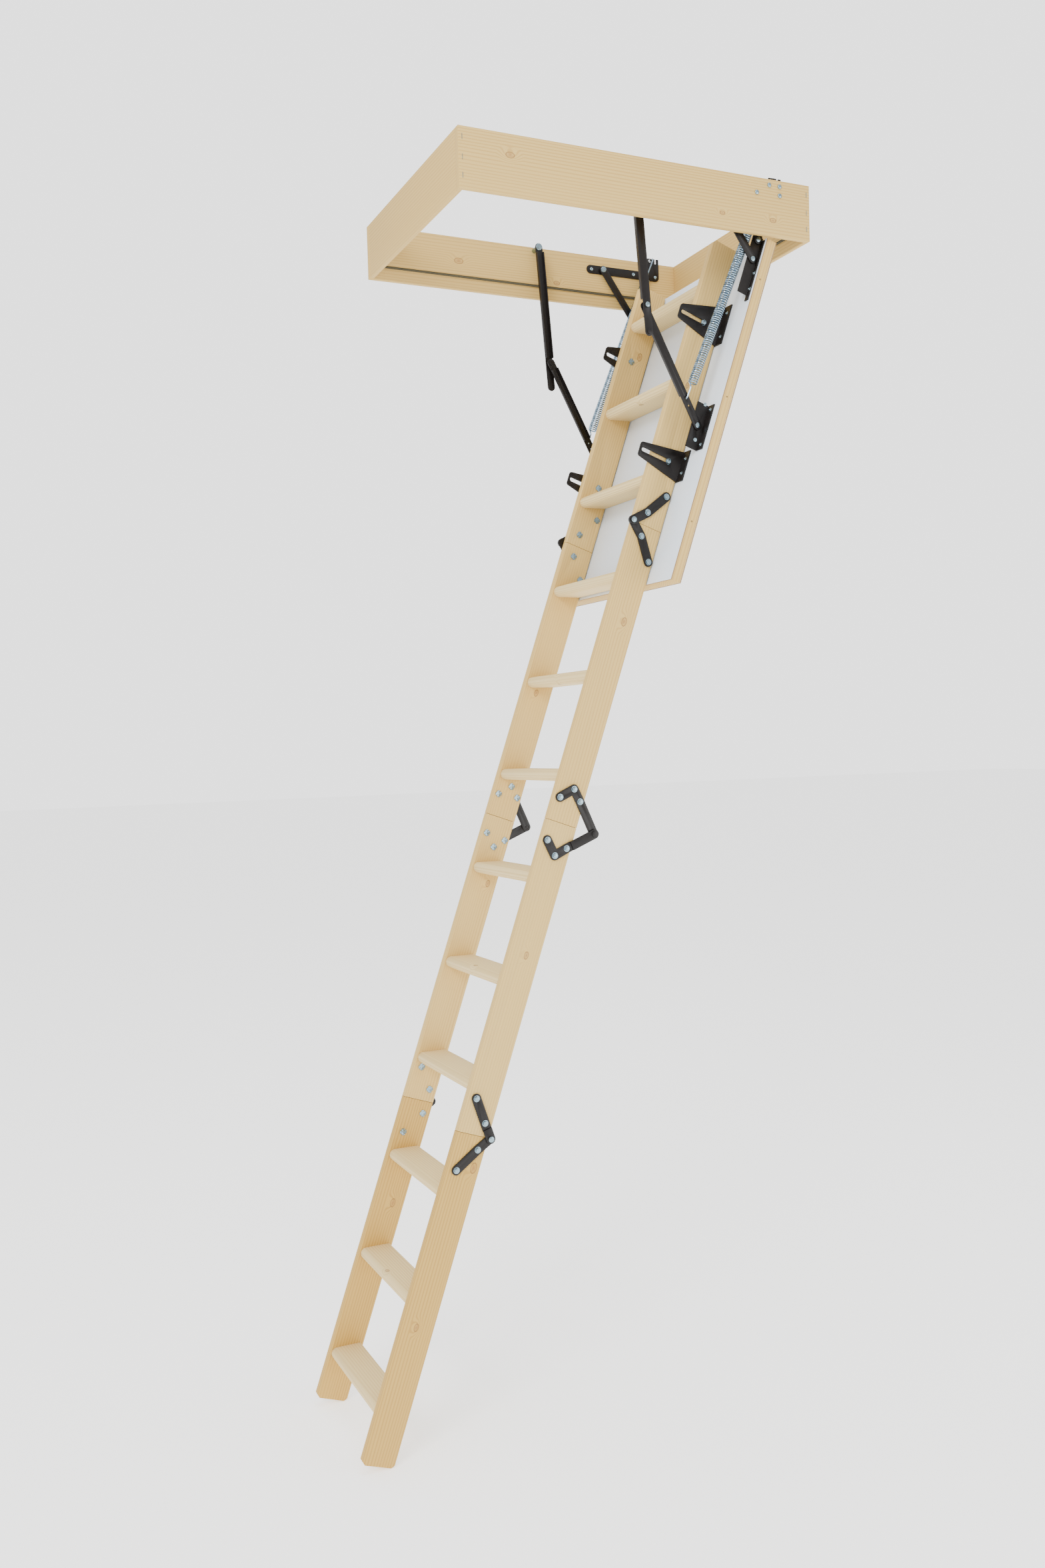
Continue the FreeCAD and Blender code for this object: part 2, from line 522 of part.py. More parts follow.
gap = "dims.joint_gap / 2"
for section in (1, 2, 3, 4):
    top = joint[section - 1] if section == 1 else "%s + %s" % (joint[section - 1], gap)
    low = joint[section] if section == 4 else "%s - %s" % (joint[section], gap)
    for far in (False, True):
        side = "far" if far else "near"
        name = "stringer_%d_%s" % (section, side)
        blank = box(name + "_blank", "0", across(ladder_y, "dims.stringer_t", far),
                    "-(%s)" % low, "dims.stringer_d", "dims.stringer_t",
                    "(%s) - (%s)" % (low, top))
        doc.recompute()
        shaped = blank
        if section in (1, 4):
            end_z = blank.Shape.BoundBox.ZMax if section == 1 else blank.Shape.BoundBox.ZMin
            edges = []
            for i, edge in enumerate(blank.Shape.Edges, 1):
                level = abs(edge.BoundBox.ZMax - end_z) + abs(edge.BoundBox.ZMin - end_z) < 0.01
                if level and abs(edge.Length - dims.stringer_t) < 0.01:
                    edges.append((i, dims.end_cut, dims.end_cut))
            shaped = doc.addObject("Part::Chamfer", name + "_ends")
            shaped.Base = blank
            shaped.Edges = edges
            doc.recompute()
        rounded = doc.addObject("Part::Fillet", name + "_rounded")
        rounded.Base = shaped
        long_edge = blank.Shape.BoundBox.ZLength - dims.end_cut * 1.5
        rounded.Edges = [(i, dims.stringer_r, dims.stringer_r)
                         for i, edge in enumerate(shaped.Shape.Edges, 1)
                         if edge.Length > long_edge]
        tools = treads[3 * section - 3:3 * section]
        tools = tools + [shank for shank in shanks[section] if shank.Name.endswith(side)]
        node("section_%d_stringer_%s" % (section, side), [cut(name, rounded, tools)], True)
    for k in range(3):
        number = 3 * section - 3 + k
        node("section_%d_tread_%d" % (section, k + 1), [treads[number]], True)

near_face = "(%s - dims.plate_gap - dims.plate_t)" % ladder_y
for number, s, pivot, outer, ups, lows in HINGES:
    for leaf, section, holes in (("upper", number, ups), ("lower", number + 1, lows)):
        pair = []
        for far in (False, True):
            name = "hinge_%d_%s_%s" % (number, leaf, "far" if far else "near")
            inner_y = across(near_face, "dims.plate_t", far)
            outer_y = across(near_face + " - dims.plate_t", "dims.plate_t", far)
            pts = [(str(w), "-(%s + (%s))" % (s, ds)) for ds, w in holes]
            eye = (pivot, "-(%s)" % s)
            parts = []
            near_eye = pts[-1]
            for i in range(len(pts) - 1):
                parts.append(strap("%s_leg_%d" % (name, i),
                                   (pts[i][0], pts[i][1], pts[i + 1][0], pts[i + 1][1]),
                                   inner_y, "dims.plate_t", "dims.plate_w"))
            if number != 2:
                near_eye = pts[1] if leaf == "upper" else pts[0]
            if leaf == outer:
                run = "sqrt((%s - %s) ^ 2 + (%s - %s) ^ 2)" % (eye[0], near_eye[0],
                                                              eye[1], near_eye[1])
                part = "(dims.joggle / %s)" % run
                step = ("(%s + (%s - %s) * %s)" % (near_eye[0], eye[0], near_eye[0], part),
                        "(%s + (%s - %s) * %s)" % (near_eye[1], eye[1], near_eye[1], part))
                parts.append(strap(name + "_step", (near_eye[0], near_eye[1], step[0], step[1]),
                                   inner_y, "dims.plate_t", "dims.plate_w"))
                parts.append(strap(name + "_arm", (step[0], step[1], eye[0], eye[1]),
                                   outer_y, "dims.plate_t", "dims.plate_w", square=True))
            else:
                parts.append(strap(name + "_arm", (near_eye[0], near_eye[1], eye[0], eye[1]),
                                   inner_y, "dims.plate_t", "dims.plate_w"))
            tools = [shank for shank in shanks[section]
                     if shank.Name.endswith("far" if far else "near")]
            pin_y = "(%s - dims.plate_t)" % near_face
            pin_l = "(2 * dims.plate_t)"
            if leaf == outer:
                parts.append(rod(name + "_pin", eye[0], across(pin_y, pin_l, far), eye[1],
                                 "dims.rivet_r", pin_l))
                parts.append(rod(name + "_cap", eye[0],
                                 across(pin_y + " - dims.rivet_head_h", "dims.rivet_head_h", far),
                                 eye[1], "dims.rivet_head_r", "dims.rivet_head_h"))
            else:
                tools = tools + [rod(name + "_bore", eye[0], "0", eye[1],
                                     "dims.rivet_r + dims.pin_play", "dims.frame_w")]
            pair.append(cut(name, fuse(name + "_all", parts), tools))
        node("hinge_%d_%s" % (number, leaf), pair, True)

# Screws and pivot pins that stay with the panel.
pins = []
for far in (False, True):
    side = "far" if far else "near"
    for tag, s in (("diag", "dims.diag_s"), ("swing", "dims.swing_s")):
        near = "(dims.link_y - dims.rub_gap)"
        for part, y, length, radius in (
                ("pin", near, "(%s - %s)" % (bar_y, near), "dims.bolt_r"),
                ("cap", "(%s - dims.rivet_head_h)" % near, "dims.rivet_head_h",
                 "dims.rivet_head_r - 1"),
                ("tail", "(%s + dims.bar_t)" % bar_y, "dims.rivet_head_h",
                 "dims.rivet_head_r - 1")):
            pins.append(rod("hatch_%s_%s_%s" % (part, tag, side), link_x,
                            across(y, length, far), "-(%s)" % s, radius, length))
    face = "(%s - dims.rub_gap)" % lower_y
    length = "(%s + dims.bar_t - %s)" % (shoe_y, face)
    x = "(%s - dims.shoe_h)" % back
    pins.append(rod("shoe_pin_" + side, x, across(face, length, far), "-dims.shoe_s",
                    "dims.bolt_r", length))
    pins.append(rod("shoe_cap_" + side, x,
                    across(face + " - dims.rivet_head_h", "dims.rivet_head_h", far),
                    "-dims.shoe_s", "dims.rivet_head_r - 1", "dims.rivet_head_h"))
    seats = []
    for ds in (-44, 44):
        seats.append(("shoe%d" % ds, "(%s - dims.shoe_f / 2)" % shoe_y,
                      "-(dims.shoe_s + (%d))" % ds, "dims.bar_t"))
    for s in (60, 100):
        seats.append(("bar%d" % s, "(%s - dims.bar_f / 2)" % bar_y, "-(%d)" % s, "dims.bar_t"))
    for tag, s_mid, s_top, s_low, rear in SLOTS:
        for s in (s_top + 20, s_low - 20):
            seats.append(("slot%d" % s, "(%s - dims.slot_flange / 2)" % slot_y, "-(%d)" % s,
                          "dims.slot_t"))
    for tag, y, z, thick in seats:
        screw = doc.addObject("Part::Cylinder", ("seat_%s_%s" % (tag, side)).replace("-", "m"))
        screw.Placement = Placement(Vector(), Rotation(Vector(0, 1, 0), -90))
        bind(screw, Radius="dims.screw_r", Height="dims.screw_h")
        at(screw, "%s - %s" % (back, thick), across(y, "0", far), z)
        pins.append(screw)
node("hatch_fixings", [fuse("hatch_pins", pins)], True)

doc.recompute()
for obj in doc.Objects:
    if "Invalid" in obj.State or "Error" in obj.State:
        raise RuntimeError("%s did not compute: %s" % (obj.Name, obj.State))
for obj in NODES:
    if obj.Shape.isNull() or not obj.Shape.isValid() or not obj.Shape.Solids:
        raise RuntimeError("%s has no valid solid" % obj.Name)

os.makedirs("parts", exist_ok=True)
for obj in NODES:
    obj.Shape.exportStep(os.path.join("parts", obj.Label + ".step"))
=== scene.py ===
import json
import math
import bmesh
import bpy
from mathutils import Matrix, Quaternion, Vector

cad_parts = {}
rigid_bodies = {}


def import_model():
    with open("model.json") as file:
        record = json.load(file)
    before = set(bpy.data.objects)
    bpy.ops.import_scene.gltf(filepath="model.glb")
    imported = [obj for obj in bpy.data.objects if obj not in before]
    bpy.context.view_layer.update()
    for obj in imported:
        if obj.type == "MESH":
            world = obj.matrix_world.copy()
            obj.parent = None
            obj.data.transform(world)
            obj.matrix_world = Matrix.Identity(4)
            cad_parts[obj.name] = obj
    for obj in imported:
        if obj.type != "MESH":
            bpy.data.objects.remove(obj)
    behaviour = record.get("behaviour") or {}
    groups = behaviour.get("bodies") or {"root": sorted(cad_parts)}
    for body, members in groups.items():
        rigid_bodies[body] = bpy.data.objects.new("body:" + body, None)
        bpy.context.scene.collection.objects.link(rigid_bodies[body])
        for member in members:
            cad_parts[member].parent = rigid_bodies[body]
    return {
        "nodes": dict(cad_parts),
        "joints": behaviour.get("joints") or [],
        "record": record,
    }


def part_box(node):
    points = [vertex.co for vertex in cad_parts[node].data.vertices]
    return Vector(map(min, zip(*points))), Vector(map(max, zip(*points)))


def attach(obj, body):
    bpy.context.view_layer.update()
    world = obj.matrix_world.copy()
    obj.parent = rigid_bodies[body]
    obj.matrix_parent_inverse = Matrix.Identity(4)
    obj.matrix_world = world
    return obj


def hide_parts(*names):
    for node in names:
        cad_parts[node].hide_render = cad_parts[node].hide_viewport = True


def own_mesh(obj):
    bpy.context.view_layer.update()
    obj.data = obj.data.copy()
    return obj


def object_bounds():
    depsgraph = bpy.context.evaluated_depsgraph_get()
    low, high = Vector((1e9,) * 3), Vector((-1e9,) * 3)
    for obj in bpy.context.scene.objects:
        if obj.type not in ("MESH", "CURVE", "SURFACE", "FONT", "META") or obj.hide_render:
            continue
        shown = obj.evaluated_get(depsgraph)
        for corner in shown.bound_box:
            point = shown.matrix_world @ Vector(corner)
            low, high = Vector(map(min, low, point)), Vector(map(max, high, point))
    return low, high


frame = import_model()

cad_low, cad_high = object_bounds()

# ---------------------------------------------------------------- the view
# A tall studio view from in front and below the hatch, level with the middle of the
# ladder, with a soft key light from the upper left and a white room all round.
MM = 0.001
VIEW_YAW = math.radians(65.79)
VIEW_PITCH = math.radians(-2.36)
VIEW_ROLL = math.radians(-1.59)
VIEW_PLACE = Vector((-1.582, -2.961, -1.170))

look = Vector((math.cos(VIEW_PITCH) * math.cos(VIEW_YAW),
               math.cos(VIEW_PITCH) * math.sin(VIEW_YAW), math.sin(VIEW_PITCH)))
lens = bpy.data.cameras.new("studio_camera")
lens.sensor_fit = "VERTICAL"
lens.sensor_height = 36
lens.lens = 31.05
lens.shift_x = 0.0116
lens.shift_y = 0.0100
lens.clip_end = 60
camera = bpy.data.objects.new("studio_camera", lens)
bpy.context.scene.collection.objects.link(camera)
turned = Quaternion(-look, VIEW_ROLL) @ look.to_track_quat("-Z", "Y")
camera.matrix_world = Matrix.Translation(VIEW_PLACE) @ turned.to_matrix().to_4x4()
bpy.context.scene.camera = camera


def srgb(code):
    """A hex colour as linear red, green, blue and alpha."""
    channels = [int(code[i:i + 2], 16) / 255 for i in (1, 3, 5)]
    linear = [c / 12.92 if c <= 0.04045 else ((c + 0.055) / 1.055) ** 2.4 for c in channels]
    return (*linear, 1.0)


def light(name, place, aim, size, power):
    lamp = bpy.data.lights.new(name, "AREA")
    lamp.size = size
    lamp.energy = power
    thing = bpy.data.objects.new(name, lamp)
    bpy.context.scene.collection.objects.link(thing)
    facing = (Vector(aim) - Vector(place)).to_track_quat("-Z", "Y")
    thing.matrix_world = Matrix.Translation(Vector(place)) @ facing.to_matrix().to_4x4()


light("key", (-4.5, -4.0, 2.5), (0, 0, -1.0), 2.5, 300)
light("fill", (3.5, -4.5, -1.0), (0, 0, -1.2), 3.0, 90)
light("top", (0.0, -0.5, 4.0), (0, 0, -1.0), 3.0, 110)

room = bpy.data.worlds.new("white_room")
room.use_nodes = True
room.node_tree.nodes["Background"].inputs["Color"].default_value = srgb("#FFFFFF")
BACKDROP_BRIGHTNESS = 2.35
ROOM_BRIGHTNESS = 1.25
seen = room.node_tree.nodes.new("ShaderNodeLightPath")
level = room.node_tree.nodes.new("ShaderNodeMapRange")
level.inputs["To Min"].default_value = ROOM_BRIGHTNESS
level.inputs["To Max"].default_value = BACKDROP_BRIGHTNESS
room.node_tree.links.new(seen.outputs["Is Camera Ray"], level.inputs["Value"])
room.node_tree.links.new(level.outputs[0], room.node_tree.nodes["Background"].inputs["Strength"])
bpy.context.scene.world = room


# ---------------------------------------------------------------- floor
# Plain matt white studio floor, level with the feet.


def finish_for(name, **sockets):
    """A new Principled material, its tree and its shader, with plain socket values set."""
    paint = bpy.data.materials.new(name)
    paint.use_nodes = True
    tree = paint.node_tree
    shader = tree.nodes["Principled BSDF"]
    for socket, value in sockets.items():
        shader.inputs[socket.replace("_", " ")].default_value = value
    return paint, tree, shader


floor_mesh = bpy.data.meshes.new("floor")
bm = bmesh.new()
bmesh.ops.create_grid(bm, x_segments=1, y_segments=1, size=40)
bmesh.ops.translate(bm, verts=bm.verts, vec=(0, 0, cad_low[2] - MM))
bm.to_mesh(floor_mesh)
bm.free()
floor = bpy.data.objects.new("floor", floor_mesh)
bpy.context.scene.collection.objects.link(floor)
pale, _, pale_shader = finish_for("matt_white_floor", Roughness=0.9)
pale_shader.inputs["Base Color"].default_value = srgb("#F8F8F7")
pale_shader.inputs["Emission Color"].default_value = srgb("#FFFFFF")
pale_shader.inputs["Emission Strength"].default_value = 1.0
floor_mesh.materials.append(pale)

# ---------------------------------------------------------------- ceiling frame
# Two long and two short planed spruce boards, butted at the corners and stapled. The long
# boards cover the short ones' ends. A rebate for the hatch runs round the bottom inside.

# Every board, plate and arm keeps its designed shape. A merged copy gets the small eased
# edge that planing or pressing leaves, so that its edges catch the light.
MERGE_GAP = 0.01 * MM
FLAT_ANGLE = math.radians(1.5)
EASED_ANGLE = math.radians(35)
EASE_STEPS = 2
SHADING_ANGLE = math.radians(40)
THICKEST_PLATE = 6 * MM
PLATE_CORNER_ANGLE = math.radians(30)
PLATE_CORNER_STEPS = 4
NEARLY_PARALLEL = 0.99
SLOT_OF = {s["node"]: s["material_slot"] for s in frame["record"]["subparts"]}
body_of_node = {n: b for b, nodes in frame["record"]["behaviour"]["bodies"].items()
                for n in nodes}


def merged(node):
    """A bmesh of a CAD node with its loose triangles joined."""
    work = bmesh.new()
    work.from_mesh(frame["nodes"][node].data)
    bmesh.ops.remove_doubles(work, verts=work.verts, dist=MERGE_GAP)
    return work


def piece(name, work, paint, body):
    """Turns a bmesh into a finished piece that rides on a CAD body."""
    mesh = bpy.data.meshes.new(name)
    work.to_mesh(mesh)
    work.free()
    mesh.materials.append(paint)
    mesh.shade_smooth()
    mesh.set_sharp_from_angle(angle=SHADING_ANGLE)
    made = bpy.data.objects.new(name, mesh)
    bpy.context.scene.collection.objects.link(made)
    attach(made, body)
    return made


def dressed(node, paint, eased, plate_corner=0):
    """A CAD node with eased edges, and rounded plate corners if asked, in the node's place."""
    work = merged(node)
    bmesh.ops.dissolve_limit(work, angle_limit=FLAT_ANGLE, verts=work.verts, edges=work.edges)
    if plate_corner:
        through = [e for e in work.edges
                   if len(e.link_faces) == 2 and e.is_convex
                   and abs((e.verts[0].co - e.verts[1].co).normalized().y) > NEARLY_PARALLEL
                   and e.calc_length() < THICKEST_PLATE
                   and e.calc_face_angle() > PLATE_CORNER_ANGLE]
        bmesh.ops.bevel(work, geom=through, offset=plate_corner, offset_type="OFFSET",
                        segments=PLATE_CORNER_STEPS, profile=0.5, affect="EDGES",
                        clamp_overlap=True, material=-1)
    corners = [e for e in work.edges
               if len(e.link_faces) == 2 and e.calc_face_angle() > EASED_ANGLE]
    bmesh.ops.bevel(work, geom=corners, offset=eased, offset_type="OFFSET",
                    segments=EASE_STEPS, profile=0.5, affect="EDGES", clamp_overlap=True,
                    material=-1)
    made = piece(node + "_look", work, paint, body_of_node[node])
    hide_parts(node)
    return made


def step(tree, kind, inputs=None, **settings):
    """Adds one shader node. inputs maps a socket to a value or to another node's socket."""
    made = tree.nodes.new("ShaderNode" + kind)
    for key, value in settings.items():
        setattr(made, key, value)
    for socket, value in (inputs or {}).items():
        if isinstance(value, bpy.types.NodeSocket):
            tree.links.new(value, made.inputs[socket])
        else:
            made.inputs[socket].default_value = value
    return made


# Planed spruce, unvarnished: pale straw wood with darker growth lines about 7 mm apart that
# run the length of each board, a fine fibre and a few brown knots that the lines bend round.
foot = Vector(next(m["axis"] for m in frame["record"]["mounts"] if m["name"] == "foot_near"))
LEAN = math.atan2(-foot.z, -foot.x)
ALONG_X = (0.0, 0.0, 0.0)
ALONG_Y = (0.0, 0.0, math.radians(-90))
ALONG_LADDER = (0.0, LEAN, 0.0)
LINE_GAP = 7.0 * MM
LINE_WANDER = 22.0
KNOT_BEND = 16.0
KNOT_REACH = 3.5
KNOT_HEART = 1.1
KNOT_RIM = 0.9 * MM
FIBRE_GAP = 2.2 * MM
FIBRE_SHARE = 0.30


def spruce(name, turn, pale_hex, late_hex, shift, thickness=(1, 0, 1), knots=()):
    """Wood with its grain along the turned X axis.

    shift moves the pattern so that no two boards match. knots are pairs of a centre in metres
    and a radius in millimetres. thickness blanks the axis that a knot passes through.
    """
    paint, tree, shader = finish_for(name, Roughness=0.62, IOR=1.45)
    shader.inputs["Specular IOR Level"].default_value = 0.32
    place = step(tree, "TexCoord").outputs["Object"]
    grain = step(tree, "Mapping", {"Vector": place, "Rotation": turn,
                                   "Location": (shift, 0.37 * shift, 0.21 * shift)})
    bend = None
    heart = None
    edge = None
    for centre, radius in knots:
        gap = step(tree, "VectorMath", {0: place, 1: centre}, operation="SUBTRACT")
        turned_gap = step(tree, "Mapping", {"Vector": gap.outputs[0], "Rotation": turn,
                                            "Scale": thickness})
        oval = step(tree, "VectorMath", {0: turned_gap.outputs[0], 1: (0.6, 1, 1)},
                    operation="MULTIPLY")
        away = step(tree, "VectorMath", {0: oval.outputs[0]}, operation="LENGTH")
        reach = step(tree, "MapRange", {"Value": away.outputs["Value"], "From Min": 0.0,
                                        "From Max": radius * MM * KNOT_REACH,
                                        "To Min": 1.0, "To Max": 0.0},
                     interpolation_type="SMOOTHSTEP")
        core = step(tree, "MapRange", {"Value": away.outputs["Value"],
                                       "From Min": 0.0, "From Max": radius * MM * KNOT_HEART,
                                       "To Min": 1.0, "To Max": 0.0})
        rim = step(tree, "Math", {0: away.outputs["Value"], 1: radius * MM, 2: KNOT_RIM},
                   operation="COMPARE")
        if bend is None:
            bend = reach.outputs[0]
            heart = core.outputs[0]
            edge = rim.outputs[0]
        else:
            edge = step(tree, "Math", {0: edge, 1: rim.outputs[0]},
                        operation="MAXIMUM").outputs[0]
            bend = step(tree, "Math", {0: bend, 1: reach.outputs[0]},
                        operation="MAXIMUM").outputs[0]
            heart = step(tree, "Math", {0: heart, 1: core.outputs[0]},
                         operation="MAXIMUM").outputs[0]
    # Annual rings: bands across the board, bent by a slow wander and by the knots.
    stretched = step(tree, "VectorMath", {0: grain.outputs[0], 1: (0.05, 1.0, 1.0)},
                     operation="MULTIPLY")
    wander = step(tree, "TexNoise", {"Vector": stretched.outputs[0], "Scale": 14.0, "Detail": 1.0,
                                     "Roughness": 0.4})
    across = step(tree, "SeparateXYZ", {0: stretched.outputs[0]})
    both = step(tree, "Math", {0: across.outputs[1], 1: across.outputs[2]}, operation="ADD")
    waves = step(tree, "Math", {0: both.outputs[0], 1: 2 * math.pi / LINE_GAP},
                 operation="MULTIPLY")
    pushed = step(tree, "Math", {0: wander.outputs["Fac"], 1: LINE_WANDER, 2: waves.outputs[0]},
                  operation="MULTIPLY_ADD")
    phase = pushed.outputs[0]
    if bend is not None:
        phase = step(tree, "Math", {0: bend, 1: KNOT_BEND, 2: phase},
                     operation="MULTIPLY_ADD").outputs[0]
    ring = step(tree, "Math", {0: phase}, operation="SINE")
    late = step(tree, "MapRange", {"Value": ring.outputs[0], "From Min": -0.2, "From Max": 1.0,
                                   "To Min": 0.0, "To Max": 1.0},
                interpolation_type="SMOOTHERSTEP")
    # Fibre: very long fine streaks.
    fine = step(tree, "VectorMath", {0: grain.outputs[0], 1: (0.02, 1.0, 1.0)},
                operation="MULTIPLY")
    fibre = step(tree, "TexNoise", {"Vector": fine.outputs[0], "Scale": 1 / FIBRE_GAP,
                                    "Detail": 2.0, "Roughness": 0.6})
    cloud = step(tree, "TexNoise", {"Vector": stretched.outputs[0], "Scale": 9.0, "Detail": 1.0})
    amount = step(tree, "Math", {0: late.outputs[0], 1: cloud.outputs["Fac"]},
                  operation="MULTIPLY")
    mixed = step(tree, "Math", {0: fibre.outputs["Fac"], 1: FIBRE_SHARE, 2: amount.outputs[0]},
                 operation="MULTIPLY_ADD")
    tone = step(tree, "MapRange", {"Value": mixed.outputs[0], "From Min": 0.10, "From Max": 0.75,
                                   "To Min": 0.0, "To Max": 0.42})
    wood = step(tree, "Mix", {0: tone.outputs[0], 6: srgb(pale_hex), 7: srgb(late_hex)},
                data_type="RGBA")
    colour = wood.outputs[2]
    if heart is not None:
        soft = step(tree, "Math", {0: heart, 1: 0.75}, operation="MULTIPLY")
        colour = step(tree, "Mix", {0: soft.outputs[0], 6: colour, 7: srgb("#9A6C40")},
                      data_type="RGBA").outputs[2]
        faint = step(tree, "Math", {0: edge, 1: 0.55}, operation="MULTIPLY")
        colour = step(tree, "Mix", {0: faint.outputs[0], 6: colour, 7: srgb("#7A4E2A")},
                      data_type="RGBA").outputs[2]
    tree.links.new(colour, shader.inputs["Base Color"])
    relief = step(tree, "Bump", {"Height": mixed.outputs[0], "Strength": 0.08,
                                 "Distance": 0.0002})
    tree.links.new(relief.outputs[0], shader.inputs["Normal"])
    return paint


BOARD_EASE = 1.0 * MM
near_low, near_high = (Vector(v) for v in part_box("frame_board_near"))
board_knots = [((near_low.x + 0.655, near_low.y, near_low.z + 0.035), 4),
               ((near_low.x + 0.795, near_low.y, near_low.z + 0.036), 5),
               ((near_low.x + 0.120, near_low.y, near_low.z + 0.085), 6)]
far_knots = [((near_low.x + 0.24, 0.3, near_low.z + 0.07), 7),
             ((near_low.x + 0.52, 0.3, near_low.z + 0.045), 5)]
end_knots = [((0.45, -0.11, near_low.z + 0.08), 7), ((0.45, 0.13, near_low.z + 0.05), 5)]
dressed("frame_board_near", spruce("planed_spruce_near_board", ALONG_X, "#CEAE68", "#A9803F",
                                   0.31, knots=board_knots), BOARD_EASE)
dressed("frame_board_far", spruce("planed_spruce_far_board", ALONG_X, "#CBAB66", "#A67D3D",
                                  1.73, knots=far_knots), BOARD_EASE)
dressed("frame_end_hinge", spruce("planed_spruce_hinge_end", ALONG_Y, "#CAA964", "#A2783A",
                                  2.91, knots=end_knots), BOARD_EASE)
dressed("frame_end_free", spruce("planed_spruce_free_end", ALONG_Y, "#CCAC68", "#A77E40",
                                 4.37), BOARD_EASE)

# Steel staples that pin the long boards to the short ones, driven almost flush. Their zinc
# plate is a clear bright metal with a faint cloudy passivation and tiny dents.
STAPLE_WIRE = 0.7 * MM
STAPLE_CROWN = 11 * MM
STAPLE_LEG = 3 * MM
STAPLE_PROUD = 0.2 * MM
STAPLE_FROM_END = 9 * MM
STAPLE_LEVELS = (22 * MM, 60 * MM, 102 * MM)
WIRE_ROUNDNESS = 2
zinc, zinc_tree, zinc_shader = finish_for("bright_zinc_plated_steel", Metallic=1.0,
                                          Roughness=0.27)
zinc_place = step(zinc_tree, "TexCoord").outputs["Object"]
clouds = step(zinc_tree, "TexNoise", {"Vector": zinc_place, "Scale": 1 / (5 * MM), "Detail": 3.0})
plated = step(zinc_tree, "Mix", {0: clouds.outputs["Fac"], 6: srgb("#A3B6BE"),
                                 7: srgb("#6F8792")}, data_type="RGBA")
zinc_tree.links.new(plated.outputs[2], zinc_shader.inputs["Base Color"])
dents = step(zinc_tree, "Bump", {"Height": clouds.outputs["Fac"], "Strength": 0.12,
                                 "Distance": 0.0003})
zinc_tree.links.new(dents.outputs[0], zinc_shader.inputs["Normal"])


def tube(work, path, radius):
    """Adds a round wire along a list of points to a bmesh."""
    curve = bpy.data.curves.new("wire", "CURVE")
    curve.dimensions = "3D"
    curve.bevel_depth = radius
    curve.bevel_resolution = WIRE_ROUNDNESS
    curve.use_fill_caps = True
    line = curve.splines.new("POLY")
    line.points.add(len(path) - 1)
    for point, spot in zip(line.points, path):
        point.co = (*spot, 1)
    holder = bpy.data.objects.new("wire", curve)
    bpy.context.scene.collection.objects.link(holder)
    mesh = bpy.data.meshes.new_from_object(holder)
    work.from_mesh(mesh)
    bpy.data.objects.remove(holder)
    bpy.data.curves.remove(curve)
    bpy.data.meshes.remove(mesh)


staples = bmesh.new()
for face, out in ((near_low.y, -1), (-near_low.y, 1)):
    proud = face + out * STAPLE_PROUD
    tip = face - out * STAPLE_LEG
    for end in (near_low.x + STAPLE_FROM_END, near_high.x - STAPLE_FROM_END):
        for foot_level in STAPLE_LEVELS:
            head_level = foot_level + STAPLE_CROWN
            wire = [Vector((end, tip, foot_level)), Vector((end, proud, foot_level)),
                    Vector((end, proud, head_level)), Vector((end, tip, head_level))]
            tube(staples, wire, STAPLE_WIRE)
piece("frame_staples", staples, zinc, "root")

# Foam sealing strip on the rebate's step, with open cells, dark olive brown: partly its own
# colour, partly painted shade under the step.
foam_and_shade_paint, foam_tree, foam_shader = finish_for("olive_foam_strip_with_painted_shade", Roughness=0.9)
foam_place = step(foam_tree, "TexCoord").outputs["Object"]
cells = step(foam_tree, "TexVoronoi", {"Vector": foam_place, "Scale": 1 / (1.2 * MM)})
# Painted shade: the dark olive tones also stand in for the shadow under the rebate's step.
foam_and_painted_shade_tone = step(foam_tree, "Mix", {0: cells.outputs["Distance"], 6: srgb("#3D3A2B"),
                                7: srgb("#57523D")}, data_type="RGBA")
foam_tree.links.new(foam_and_painted_shade_tone.outputs[2], foam_shader.inputs["Base Color"])
foam_bump = step(foam_tree, "Bump", {"Height": cells.outputs["Distance"], "Strength": 0.4,
                                     "Distance": 0.0006})
foam_tree.links.new(foam_bump.outputs[0], foam_shader.inputs["Normal"])
dressed("frame_seal", foam_and_shade_paint, 0.8 * MM)

# ---------------------------------------------------------------- hatch panel
# An insulated sandwich: smooth white faced board on both sides and a foam core, closed
# round its edge by pine strips with small countersunk screws.
white, white_tree, white_shader = finish_for("white_laminated_board", Roughness=0.38, IOR=1.5)
white_place = step(white_tree, "TexCoord").outputs["Object"]
pebble = step(white_tree, "TexNoise", {"Vector": white_place, "Scale": 1 / (2.5 * MM),
                                       "Detail": 2.0})
broad = step(white_tree, "TexNoise", {"Vector": white_place, "Scale": 3.0, "Detail": 1.0})
cream = step(white_tree, "Mix", {0: broad.outputs["Fac"], 6: srgb("#E3EAF1"),
                                 7: srgb("#D9E2EC")}, data_type="RGBA")
white_tree.links.new(cream.outputs[2], white_shader.inputs["Base Color"])
white_bump = step(white_tree, "Bump", {"Height": pebble.outputs["Fac"], "Strength": 0.05,
                                       "Distance": 0.0002})
white_tree.links.new(white_bump.outputs[0], white_shader.inputs["Normal"])
fibre_edge, edge_tree, edge_shader = finish_for("brown_fibreboard_edge", Roughness=0.8)
edge_place = step(edge_tree, "TexCoord").outputs["Object"]
pressed = step(edge_tree, "TexNoise", {"Vector": edge_place, "Scale": 1 / (1.5 * MM)})
browned = step(edge_tree, "Mix", {0: pressed.outputs["Fac"], 6: srgb("#A58656"),
                                  7: srgb("#8C6D42")}, data_type="RGBA")
edge_tree.links.new(browned.outputs[2], edge_shader.inputs["Base Color"])
